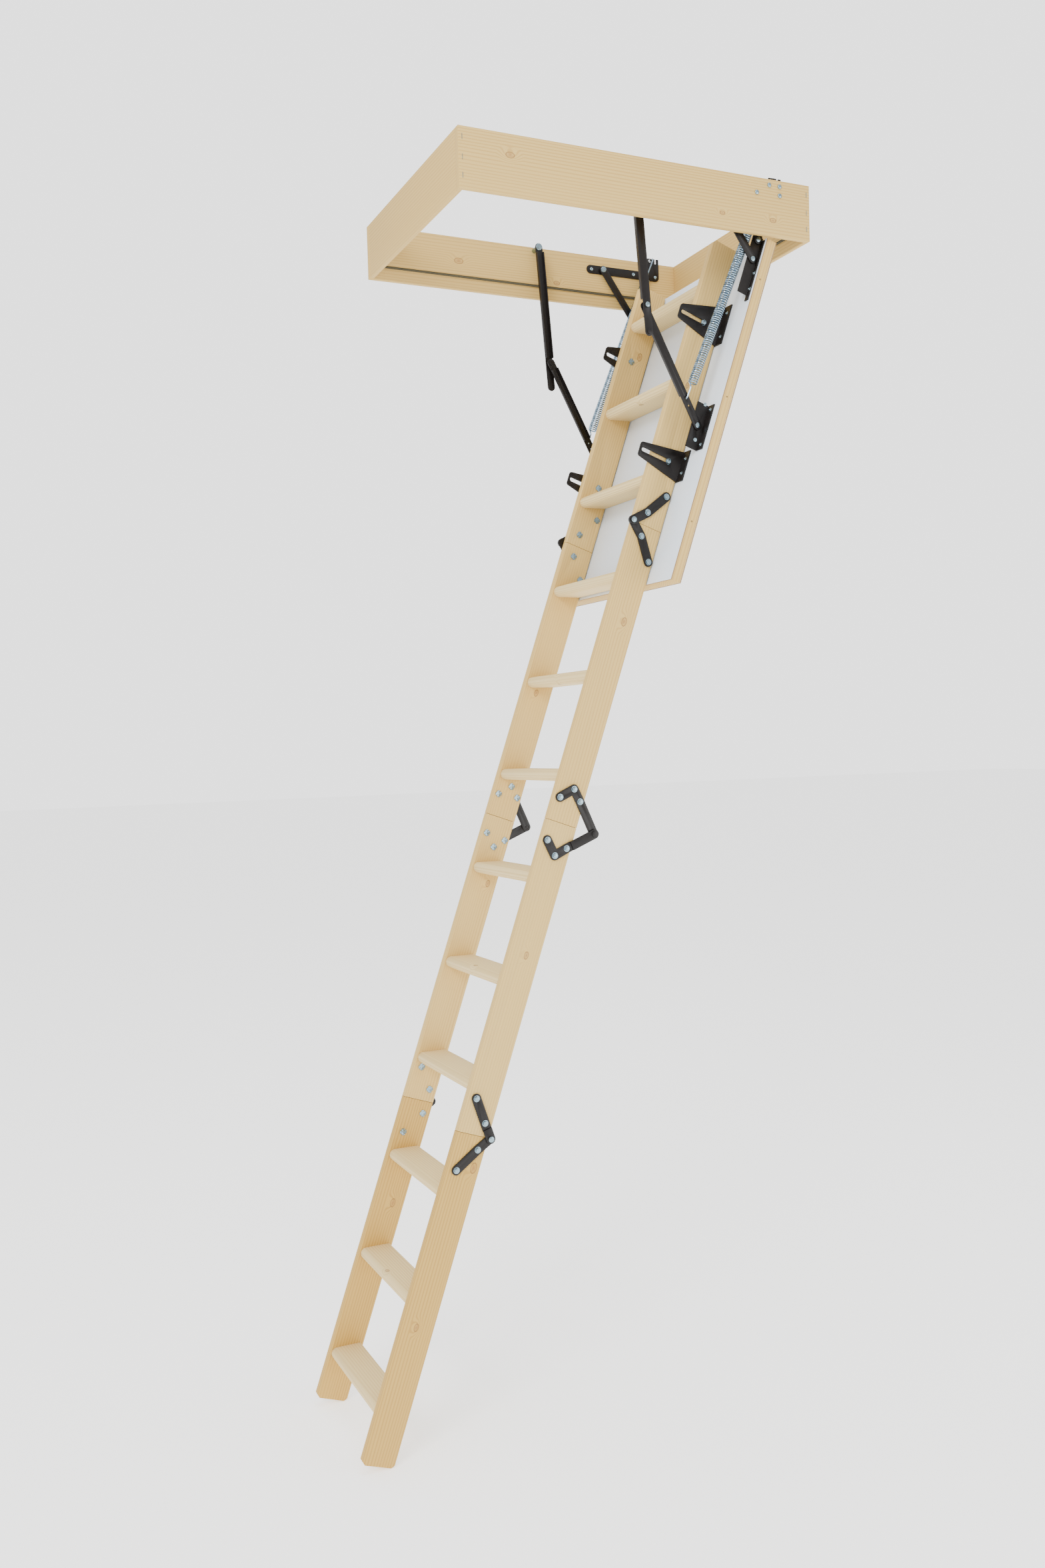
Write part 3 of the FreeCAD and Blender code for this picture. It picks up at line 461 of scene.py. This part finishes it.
for node in ("hatch_sheet_inner", "hatch_sheet_outer"):
    board = dressed(node, white, 0.3 * MM)
    board.data.materials.append(fibre_edge)
    broad_face = max(board.data.polygons, key=lambda f: f.area).normal
    for face in board.data.polygons:
        face.material_index = 0 if abs(face.normal.dot(broad_face)) > 0.5 else 1
dressed("hatch_rails", spruce("planed_pine_edge_strip", ALONG_LADDER, "#D0AF69", "#A97F3F",
                              6.1), 0.5 * MM)

styrene, styrene_tree, styrene_shader = finish_for("white_bead_foam", Roughness=0.85)
styrene_place = step(styrene_tree, "TexCoord").outputs["Object"]
beads = step(styrene_tree, "TexVoronoi", {"Vector": styrene_place, "Scale": 1 / (4 * MM)})
beaded = step(styrene_tree, "Mix", {0: beads.outputs["Distance"], 6: srgb("#F2F2EE"),
                                    7: srgb("#DADAD4")}, data_type="RGBA")
styrene_tree.links.new(beaded.outputs[2], styrene_shader.inputs["Base Color"])
dressed("hatch_core", styrene, 0.4 * MM)

# ---------------------------------------------------------------- dark steel
# Pressed mild steel fittings in a dark brown-black cathodic enamel: semi-gloss, with a cool
# sheen on flat faces and a slight orange peel.
enamel, enamel_tree, enamel_shader = finish_for("dark_enamelled_steel", Roughness=0.36, IOR=1.52)
enamel_shader.inputs["Specular IOR Level"].default_value = 0.3
enamel_place = step(enamel_tree, "TexCoord").outputs["Object"]
peel = step(enamel_tree, "TexNoise", {"Vector": enamel_place, "Scale": 1 / (1.6 * MM),
                                      "Detail": 2.0})
patch = step(enamel_tree, "TexNoise", {"Vector": enamel_place, "Scale": 1 / (14 * MM),
                                       "Detail": 3.0})
shade = step(enamel_tree, "Mix", {0: patch.outputs["Fac"], 6: srgb("#0B0807"),
                                  7: srgb("#15100E")}, data_type="RGBA")
enamel_tree.links.new(shade.outputs[2], enamel_shader.inputs["Base Color"])
glossy = step(enamel_tree, "MapRange", {"Value": patch.outputs["Fac"], "From Min": 0.3,
                                        "From Max": 0.7, "To Min": 0.30, "To Max": 0.44})
enamel_tree.links.new(glossy.outputs[0], enamel_shader.inputs["Roughness"])
peeled = step(enamel_tree, "Bump", {"Height": peel.outputs["Fac"], "Strength": 0.10,
                                    "Distance": 0.0002})
enamel_tree.links.new(peeled.outputs[0], enamel_shader.inputs["Normal"])
PRESSED_EDGE = 0.5 * MM
BRACKET_CORNER = 5.0 * MM
for node in sorted(SLOT_OF):
    if SLOT_OF[node] == "black_steel":
        rounded = BRACKET_CORNER if node.startswith("slot_brackets") else 0
        dressed(node, enamel, PRESSED_EDGE, plate_corner=rounded)

# Pressed rims round the slots of the brackets: the slot's rounded ends are read from the
# designed plate, and a half-sunk bead follows them on the plate's outer face.
RIM_WIRE = 1.3 * MM
RIM_OUT = 1.2 * MM
ROUND_END = 8 * MM
THINNEST_PLATE = 2 * MM
for node in ("slot_brackets_upper", "slot_brackets_lower"):
    work = merged(node)
    bmesh.ops.dissolve_limit(work, angle_limit=FLAT_ANGLE, verts=work.verts, edges=work.edges)
    ends = {-1: {}, 1: {}}
    for edge in work.edges:
        a, b = (v.co for v in edge.verts)
        if (len(edge.link_faces) == 2 and not edge.is_convex
                and abs((a - b).y) > THINNEST_PLATE
                and abs((a - b).normalized().y) > NEARLY_PARALLEL
                and (a - b).length < THICKEST_PLATE):
            side = -1 if a.y < 0 else 1
            outer = min(a.y, b.y) if side < 0 else max(a.y, b.y)
            ends[side][(round(a.x, 5), round(a.z, 5))] = outer
    work.free()
    rims = bmesh.new()
    for side, found in ends.items():
        found = {spot: y for spot, y in found.items()
                 if sum(math.dist(spot, other) < ROUND_END for other in found) > 2}
        middle = Vector((sum(x for x, z in found), 0, sum(z for x, z in found))) / len(found)
        loop = sorted(found, key=lambda spot: math.atan2(spot[1] - middle.z, spot[0] - middle.x))
        path = []
        for x, z in loop + loop[:1]:
            way = (Vector((x, 0, z)) - middle).normalized()
            path.append(Vector((x, found[loop[0]], z)) + way * RIM_OUT)
        tube(rims, path, RIM_WIRE)
    piece(node + "_rims", rims, enamel, "hatch")

# ---------------------------------------------------------------- ladder wood
# Stringers: planed spruce with rounded long edges and housings for the treads.
# Treads: paler boards with a half-round nose, glued and screwed into the housings.
STRINGER_TONES = [("#D3B36E", "#AE8545"), ("#D2B16B", "#AC8342"), ("#D4B46F", "#AE8543"),
                  ("#CAA455", "#996B2C")]
TREAD_TONES = ("#E2CA92", "#BE9C5E")
knot_rows = {("section_2", "near"): [(0.30, 6)], ("section_3", "near"): [(0.42, 5)],
             ("section_4", "near"): [(0.05, 7), (0.60, 5)], ("section_1", "far"): [(0.22, 6)],
             ("section_2", "far"): [(0.55, 5)], ("section_3", "far"): [(0.2, 5)],
             ("section_4", "far"): [(0.33, 6)], ("section_1", "near"): [(0.5, 4)]}
for number in range(4):
    section = "section_%d" % (number + 1)
    for side in ("near", "far"):
        node = section + "_stringer_" + side
        low, high = (Vector(v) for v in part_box(node))
        spots = []
        for share, radius in knot_rows[(section, side)]:
            centre = high.lerp(low, 0.08 + 0.84 * share)
            spots.append(((centre.x, centre.y, centre.z), radius))
        wood = spruce("planed_spruce_" + node, ALONG_LADDER, *STRINGER_TONES[number],
                      0.83 * number + (0.4 if side == "far" else 0.0) + 7.0, knots=spots)
        dressed(node, wood, 0.8 * MM)
    for k in range(3):
        node = section + "_tread_%d" % (k + 1)
        low, high = (Vector(v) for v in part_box(node))
        centre = (low + high) / 2
        spot = (low.x + 0.012, centre.y + 0.07 * (k - 1), high.z - 0.012)
        wood = spruce("planed_spruce_" + node, ALONG_Y, *TREAD_TONES,
                      0.57 * (3 * number + k) + 11.0, thickness=(1, 1, 0),
                      knots=[(spot, 4)] if k == 1 else ())
        dressed(node, wood, 0.8 * MM)

# ---------------------------------------------------------------- bolts, nuts and rivets
# Zinc plated hexagon bolts through the hinge plates, with clover shaped T-nuts knocked into
# the inner face of each stringer. Domed rivets and pan heads hold the linkage.


def islands(node):
    """(lowest, highest) corners of each separate solid of a CAD node."""
    work = merged(node)
    left = set(work.verts)
    boxes = []
    while left:
        found = []
        queue = [left.pop()]
        while queue:
            vert = queue.pop()
            found.append(vert.co.copy())
            for edge in vert.link_edges:
                other = edge.other_vert(vert)
                if other in left:
                    left.remove(other)
                    queue.append(other)
        boxes.append((Vector([min(c[i] for c in found) for i in range(3)]),
                      Vector([max(c[i] for c in found) for i in range(3)])))
    work.free()
    return boxes


def facing(spot, out):
    """A matrix that stands a shape made about +Z on a spot, facing out."""
    return Matrix.Translation(spot) @ Vector(out).to_track_quat("Z", "Y").to_matrix().to_4x4()


def hexagon_head(work, spot, out, radius, height):
    """A bolt's six-sided head with its top edge turned down."""
    made = bmesh.ops.create_cone(work, cap_ends=True, segments=6, radius1=radius, radius2=radius,
                                 depth=height)["verts"]
    rim = [e for v in made for e in v.link_edges if e.calc_length() < radius * 1.01]
    top = [e for e in set(rim) if all(v.co.z > 0 for v in e.verts)]
    new = bmesh.ops.bevel(work, geom=top, offset=height * 0.22, offset_type="OFFSET", segments=2,
                          profile=0.5, affect="EDGES", material=-1)
    verts = set(v for v in made if v.is_valid) | set(new["verts"])
    bmesh.ops.translate(work, verts=list(verts), vec=(0, 0, height / 2))
    bmesh.ops.transform(work, matrix=facing(spot, out), verts=list(verts))


def domed_head(work, spot, out, radius, height, drive=False):
    """A low dome, spun from its profile, with a round socket pressed in if it is a screw."""
    before = set(work.verts)
    profile = [work.verts.new((radius, 0, 0))]
    for k in range(1, 7):
        turn = math.radians(15 * k)
        profile.append(work.verts.new((radius * math.cos(turn), 0,
                                       height * (0.25 + 0.75 * math.sin(turn)))))
    edges = [work.edges.new(pair) for pair in zip(profile, profile[1:])]
    bmesh.ops.spin(work, geom=profile + edges, cent=(0, 0, 0), axis=(0, 0, 1),
                   angle=2 * math.pi, steps=20, use_merge=True)
    verts = [v for v in work.verts if v not in before]
    bmesh.ops.remove_doubles(work, verts=verts, dist=0.00001)
    verts = [v for v in work.verts if v not in before]
    if drive:
        for vert in verts:
            level = math.hypot(vert.co.x, vert.co.y) / radius
            if level < 0.45:
                vert.co.z -= height * 0.55
    rim = [e for e in work.edges if e.is_boundary and e.verts[0] not in before]
    bmesh.ops.contextual_create(work, geom=rim)
    faces = [f for f in work.faces if f.verts[0] not in before]
    bmesh.ops.recalc_face_normals(work, faces=faces)
    bmesh.ops.transform(work, matrix=facing(spot, out), verts=verts)


def disc(work, spot, out, radius, height):
    """A round washer, collar or shank that starts at a spot and runs outwards."""
    verts = bmesh.ops.create_cone(work, cap_ends=True, segments=24, radius1=radius,
                                  radius2=radius, depth=height)["verts"]
    bmesh.ops.translate(work, verts=verts, vec=(0, 0, height / 2))
    bmesh.ops.transform(work, matrix=facing(spot, out), verts=verts)


NUT_SIDES = 40
NOTCH_DEPTH = 0.28
NOTCH_HALF_ANGLE = 0.3
DIMPLE_INSET = 0.55
DIMPLE_DEPTH = 0.7


def clover_nut(work, spot, out, radius, height):
    """A T-nut's flange with four lobes and the threaded hole's dimple."""
    verts = bmesh.ops.create_cone(work, cap_ends=True, segments=NUT_SIDES, radius1=radius,
                                  radius2=radius, depth=height)["verts"]
    for vert in verts:
        turn = math.atan2(vert.co.y, vert.co.x)
        from_notch = abs(turn % (math.pi / 2) - math.pi / 4)
        share = 1.0 - NOTCH_DEPTH * max(0.0, 1.0 - from_notch / NOTCH_HALF_ANGLE)
        vert.co.x *= share
        vert.co.y *= share
    caps = [f for f in work.faces if len(f.verts) == NUT_SIDES and f.normal.z > 0.9
            and f.calc_center_median().length < height]
    for cap in caps:
        rim = bmesh.ops.inset_region(work, faces=[cap], thickness=radius * DIMPLE_INSET)
        bmesh.ops.translate(work, verts=cap.verts, vec=(0, 0, -height * DIMPLE_DEPTH))
        verts = verts + [v for f in rim["faces"] for v in f.verts]
    verts = list(set(verts) | {v for f in caps for v in f.verts})
    bmesh.ops.translate(work, verts=verts, vec=(0, 0, height / 2))
    bmesh.ops.transform(work, matrix=facing(spot, out), verts=verts)


HEAD_RADIUS = 6.0 * MM
HEAD_HEIGHT = 4.0 * MM
NUT_RADIUS = 8.5 * MM
NUT_HEIGHT = 1.5 * MM
WASHER = 0.6 * MM
SHANK_RADIUS = 3.0 * MM
for number in range(4):
    node = "section_%d_bolts" % (number + 1)
    work = bmesh.new()
    for low, high in islands(node):
        centre = (low + high) / 2
        out = -1 if centre.y < 0 else 1
        outer = low.y if out < 0 else high.y
        inner = high.y if out < 0 else low.y
        seat = Vector((centre.x, outer - out * HEAD_HEIGHT, centre.z))
        disc(work, seat, (0, out, 0), HEAD_RADIUS * 1.25, WASHER)
        hexagon_head(work, seat, (0, out, 0), HEAD_RADIUS, HEAD_HEIGHT)
        nut_seat = Vector((centre.x, inner + out * NUT_HEIGHT, centre.z))
        clover_nut(work, nut_seat, (0, -out, 0), NUT_RADIUS, NUT_HEIGHT)
        disc(work, nut_seat, (0, out, 0), SHANK_RADIUS, (nut_seat - seat).length)
    made = piece(node + "_look", work, zinc, body_of_node[node])
    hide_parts(node)

# Studs, rivets, domes and screws of the ceiling frame.
SCREW_RADIUS = 4.5 * MM
SCREW_HEIGHT = 2.0 * MM
DOME_RADIUS = 5.5 * MM
DOME_HEIGHT = 3.6 * MM
PIN_HEAD_HEIGHT = 2.5 * MM
COLLAR_RADIUS = 6.0 * MM
work = bmesh.new()
for low, high in islands("frame_fixings"):
    size = high - low
    centre = (low + high) / 2
    inward = 1 if centre.y < 0 else -1
    start = low.y if inward > 0 else high.y
    base = Vector((centre.x, start, centre.z))
    if size.y < 3 * MM:
        domed_head(work, base, (0, inward, 0), SCREW_RADIUS, SCREW_HEIGHT, drive=True)
    elif size.y < 5 * MM:
        face = Vector((centre.x, high.y if inward > 0 else low.y, centre.z))
        domed_head(work, face, (0, -inward, 0), DOME_RADIUS, DOME_HEIGHT)
    else:
        disc(work, base, (0, inward, 0), COLLAR_RADIUS, max(size.y - 6.4 * MM, 2 * MM))
        disc(work, base, (0, inward, 0), SHANK_RADIUS, size.y - 1.5 * MM)
        end = high.y if inward > 0 else low.y
        cap = Vector((centre.x, end - inward * PIN_HEAD_HEIGHT, centre.z))
        if size.y > 6 * MM:
            head_radius = (9.0 if size.y > 30 * MM else 7.5) * MM
            domed_head(work, cap, (0, inward, 0), head_radius, PIN_HEAD_HEIGHT)
made = piece("frame_fixings_look", work, zinc, "root")
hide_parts("frame_fixings")

# Knee rivets of the folding arms, headed on both faces.
ARM_EYE = 10 * MM
KNEE_RIVET = 6.0 * MM
RIVET_HEIGHT = 2.2 * MM
work = bmesh.new()
for side in ("near", "far"):
    upper_low, upper_high = (Vector(v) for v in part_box("upper_arm_" + side))
    lower_low, lower_high = (Vector(v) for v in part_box("lower_arm_" + side))
    knee = Vector((lower_low.x + ARM_EYE, 0, lower_high.z - ARM_EYE))
    for y, out in ((upper_low.y, -1), (upper_high.y, 1)):
        domed_head(work, Vector((knee.x, y, knee.z)), (0, out, 0), KNEE_RIVET, RIVET_HEIGHT)
piece("knee_rivets", work, zinc, "upper_arms")

# The diagonal links' upper rivets are part of the links: their heads are bright zinc.
LINK_RIVET = 2.4 * MM
for side in ("near", "far"):
    link = bpy.data.objects["hatch_link_diag_" + side + "_look"]
    link.data.materials.append(zinc)
    low, high = (Vector(v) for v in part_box("hatch_link_diag_" + side))
    for face in link.data.polygons:
        proud = (face.center.y > high.y - LINK_RIVET if side == "near"
                 else face.center.y < low.y + LINK_RIVET)
        face.material_index = 1 if proud else 0

# Rivets at the pivots of the upper and lower ladder hinges, headed on both sides.
HINGE_RIVET = 7.0 * MM
for joint, leaf, body in (("fold_first", "hinge_1_", "hatch"),
                          ("fold_third", "hinge_3_", "section_3")):
    pivot = next(j for j in frame["joints"] if j["name"] == joint)["pos_m"]
    upper_low, upper_high = (Vector(v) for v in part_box(leaf + "upper"))
    lower_low, lower_high = (Vector(v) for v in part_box(leaf + "lower"))
    work = bmesh.new()
    for y, out in ((min(upper_low.y, lower_low.y), -1), (max(upper_high.y, lower_high.y), 1)):
        domed_head(work, Vector((pivot[0], y, pivot[2])), (0, out, 0), HINGE_RIVET,
                   RIVET_HEIGHT)
    piece(leaf + "rivets", work, zinc, body)

# Pins and screws of the hatch: rivets lie across the ladder, screws face the climber.
PIN_HEAD = 6.5 * MM
work = bmesh.new()
front = Vector((foot.z, 0, -foot.x))
for low, high in islands("hatch_fixings"):
    size = high - low
    centre = (low + high) / 2
    inward = 1 if centre.y < 0 else -1
    if size.y > 8.5 * MM and size.x < 10 * MM and size.z > 8.5 * MM:
        domed_head(work, centre - front * SCREW_HEIGHT / 2, front, SCREW_RADIUS, SCREW_HEIGHT,
                   drive=True)
        continue
    outer = low.y if inward > 0 else high.y
    inner = high.y if inward > 0 else low.y
    domed_head(work, Vector((centre.x, outer + inward * PIN_HEAD_HEIGHT, centre.z)),
               (0, -inward, 0), PIN_HEAD, PIN_HEAD_HEIGHT)
    disc(work, Vector((centre.x, outer + inward * MM, centre.z)), (0, inward, 0), SHANK_RADIUS,
         size.y - 2 * MM)
# Two more screws through the upright leaf of each arm shoe, above and below its pivot.
SHOE_SCREW = 44 * MM
SHOE_SCREW_OUT = 7 * MM
pivot = next(j for j in frame["joints"] if j["name"] == "lower_arms_turn")["pos_m"]
shoe_low, shoe_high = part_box("arm_shoes")
for y, out in ((shoe_low[1], -1), (shoe_high[1], 1)):
    for way in (-1, 1):
        spot = Vector(pivot) + foot.normalized() * SHOE_SCREW * way + front * SHOE_SCREW_OUT
        domed_head(work, Vector((spot.x, y, spot.z)), (0, out, 0), SCREW_RADIUS, SCREW_HEIGHT,
                   drive=True)
made = piece("hatch_fixings_look", work, zinc, "hatch")
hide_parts("hatch_fixings")

# ---------------------------------------------------------------- springs
# Close wound extension springs in plated wire, with long open hooks: one through the tab on
# the ceiling frame, one through the lower arm.
COIL_RADIUS = 11.5 * MM
WIRE = 1.75 * MM
COIL_PITCH = 5.4 * MM
HOOK_LOW = 38 * MM
HOOK_HIGH = 66 * MM
LOW_IN = 53 * MM
TOP_IN = 40 * MM
TURN_STEPS = 16
wire_paint, wire_tree, wire_shader = finish_for("plated_spring_wire", Metallic=1.0,
                                                Roughness=0.24)
wire_place = step(wire_tree, "TexCoord").outputs["Object"]
tarnish = step(wire_tree, "TexNoise", {"Vector": wire_place, "Scale": 1 / (9 * MM),
                                       "Detail": 3.0})
wired = step(wire_tree, "Mix", {0: tarnish.outputs["Fac"], 6: srgb("#A6BCCB"),
                                7: srgb("#748B9E")}, data_type="RGBA")
wire_tree.links.new(wired.outputs[2], wire_shader.inputs["Base Color"])
hang = next(j for j in frame["joints"] if j["name"] == "springs_turn")["pos_m"]
for side, out in (("near", -1), ("far", 1)):
    node = "spring_" + side
    low = Vector(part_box(node)[0])
    face = near_low.y * -out
    bottom = Vector((low.x + WIRE, face - out * LOW_IN, low.z + WIRE))
    top = Vector((hang[0], face - out * TOP_IN, hang[2]))
    run = top - bottom
    axis = run.normalized()
    side_way = axis.cross(Vector((0, 1, 0))).normalized()
    up_way = axis.cross(side_way)
    first = bottom + axis * HOOK_LOW
    turns = (run.length - HOOK_LOW - HOOK_HIGH) / COIL_PITCH
    middle = COIL_RADIUS - WIRE
    path = [bottom - Vector((0, out * 7 * MM, 0)), bottom - Vector((0, out * 2 * MM, 0)),
            bottom + axis * 4 * MM, bottom + axis * (HOOK_LOW - 10 * MM)]
    path.append(first - axis * 3 * MM + side_way * middle * 0.5)
    for k in range(int(turns * TURN_STEPS) + 1):
        turn = 2 * math.pi * k / TURN_STEPS
        path.append(first + axis * COIL_PITCH * k / TURN_STEPS
                    + side_way * middle * math.cos(turn) + up_way * middle * math.sin(turn))
    path += [path[-1] * 0.5 + (top - axis * (HOOK_HIGH - 8 * MM)) * 0.5,
             top - axis * (HOOK_HIGH - 16 * MM), top - axis * 6 * MM,
             top + Vector((0, out * 4 * MM, 0)), top + Vector((0, out * 22 * MM, 0))]
    work = bmesh.new()
    tube(work, path, WIRE)
    made = piece(node + "_look", work, wire_paint, "springs")
    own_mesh(made)
    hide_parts(node)

# ---------------------------------------------------------------- edge screws of the panel
# Small dark countersunk screws in the pine edge strips, three to a long side.
holes = bmesh.new()
rail_low, rail_high = (Vector(v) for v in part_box("hatch_rails"))
down = foot.normalized()
corner = Vector((rail_high.x, 0, rail_high.z))
dark, dark_tree, dark_shader = finish_for("blackened_screw", Metallic=0.6, Roughness=0.5)
speck_place = step(dark_tree, "TexCoord").outputs["Object"]
speck = step(dark_tree, "TexNoise", {"Vector": speck_place, "Scale": 1 / (1.5 * MM)})
specked = step(dark_tree, "Mix", {0: speck.outputs["Fac"], 6: srgb("#241E1A"),
                                  7: srgb("#3A3029")}, data_type="RGBA")
dark_tree.links.new(specked.outputs[2], dark_shader.inputs["Base Color"])
RAIL_MIDDLE = 11 * MM
EDGE_SCREW_RADIUS = 2.6 * MM
EDGE_SCREW_HEIGHT = 0.6 * MM
EDGE_SCREW_SUNK = 0.4 * MM
EDGE_SCREW_SHARES = (0.125, 0.47, 0.83)
panel_length = (rail_high.z - rail_low.z) / -down.z
for side in (-1, 1):
    y = rail_low.y if side < 0 else rail_high.y
    for share in EDGE_SCREW_SHARES:
        spot = corner + down * panel_length * share + front * RAIL_MIDDLE
        domed_head(holes, Vector((spot.x, y - side * EDGE_SCREW_SUNK, spot.z)), (0, side, 0),
                   EDGE_SCREW_RADIUS, EDGE_SCREW_HEIGHT, drive=True)
piece("hatch_edge_screws", holes, dark, "hatch")
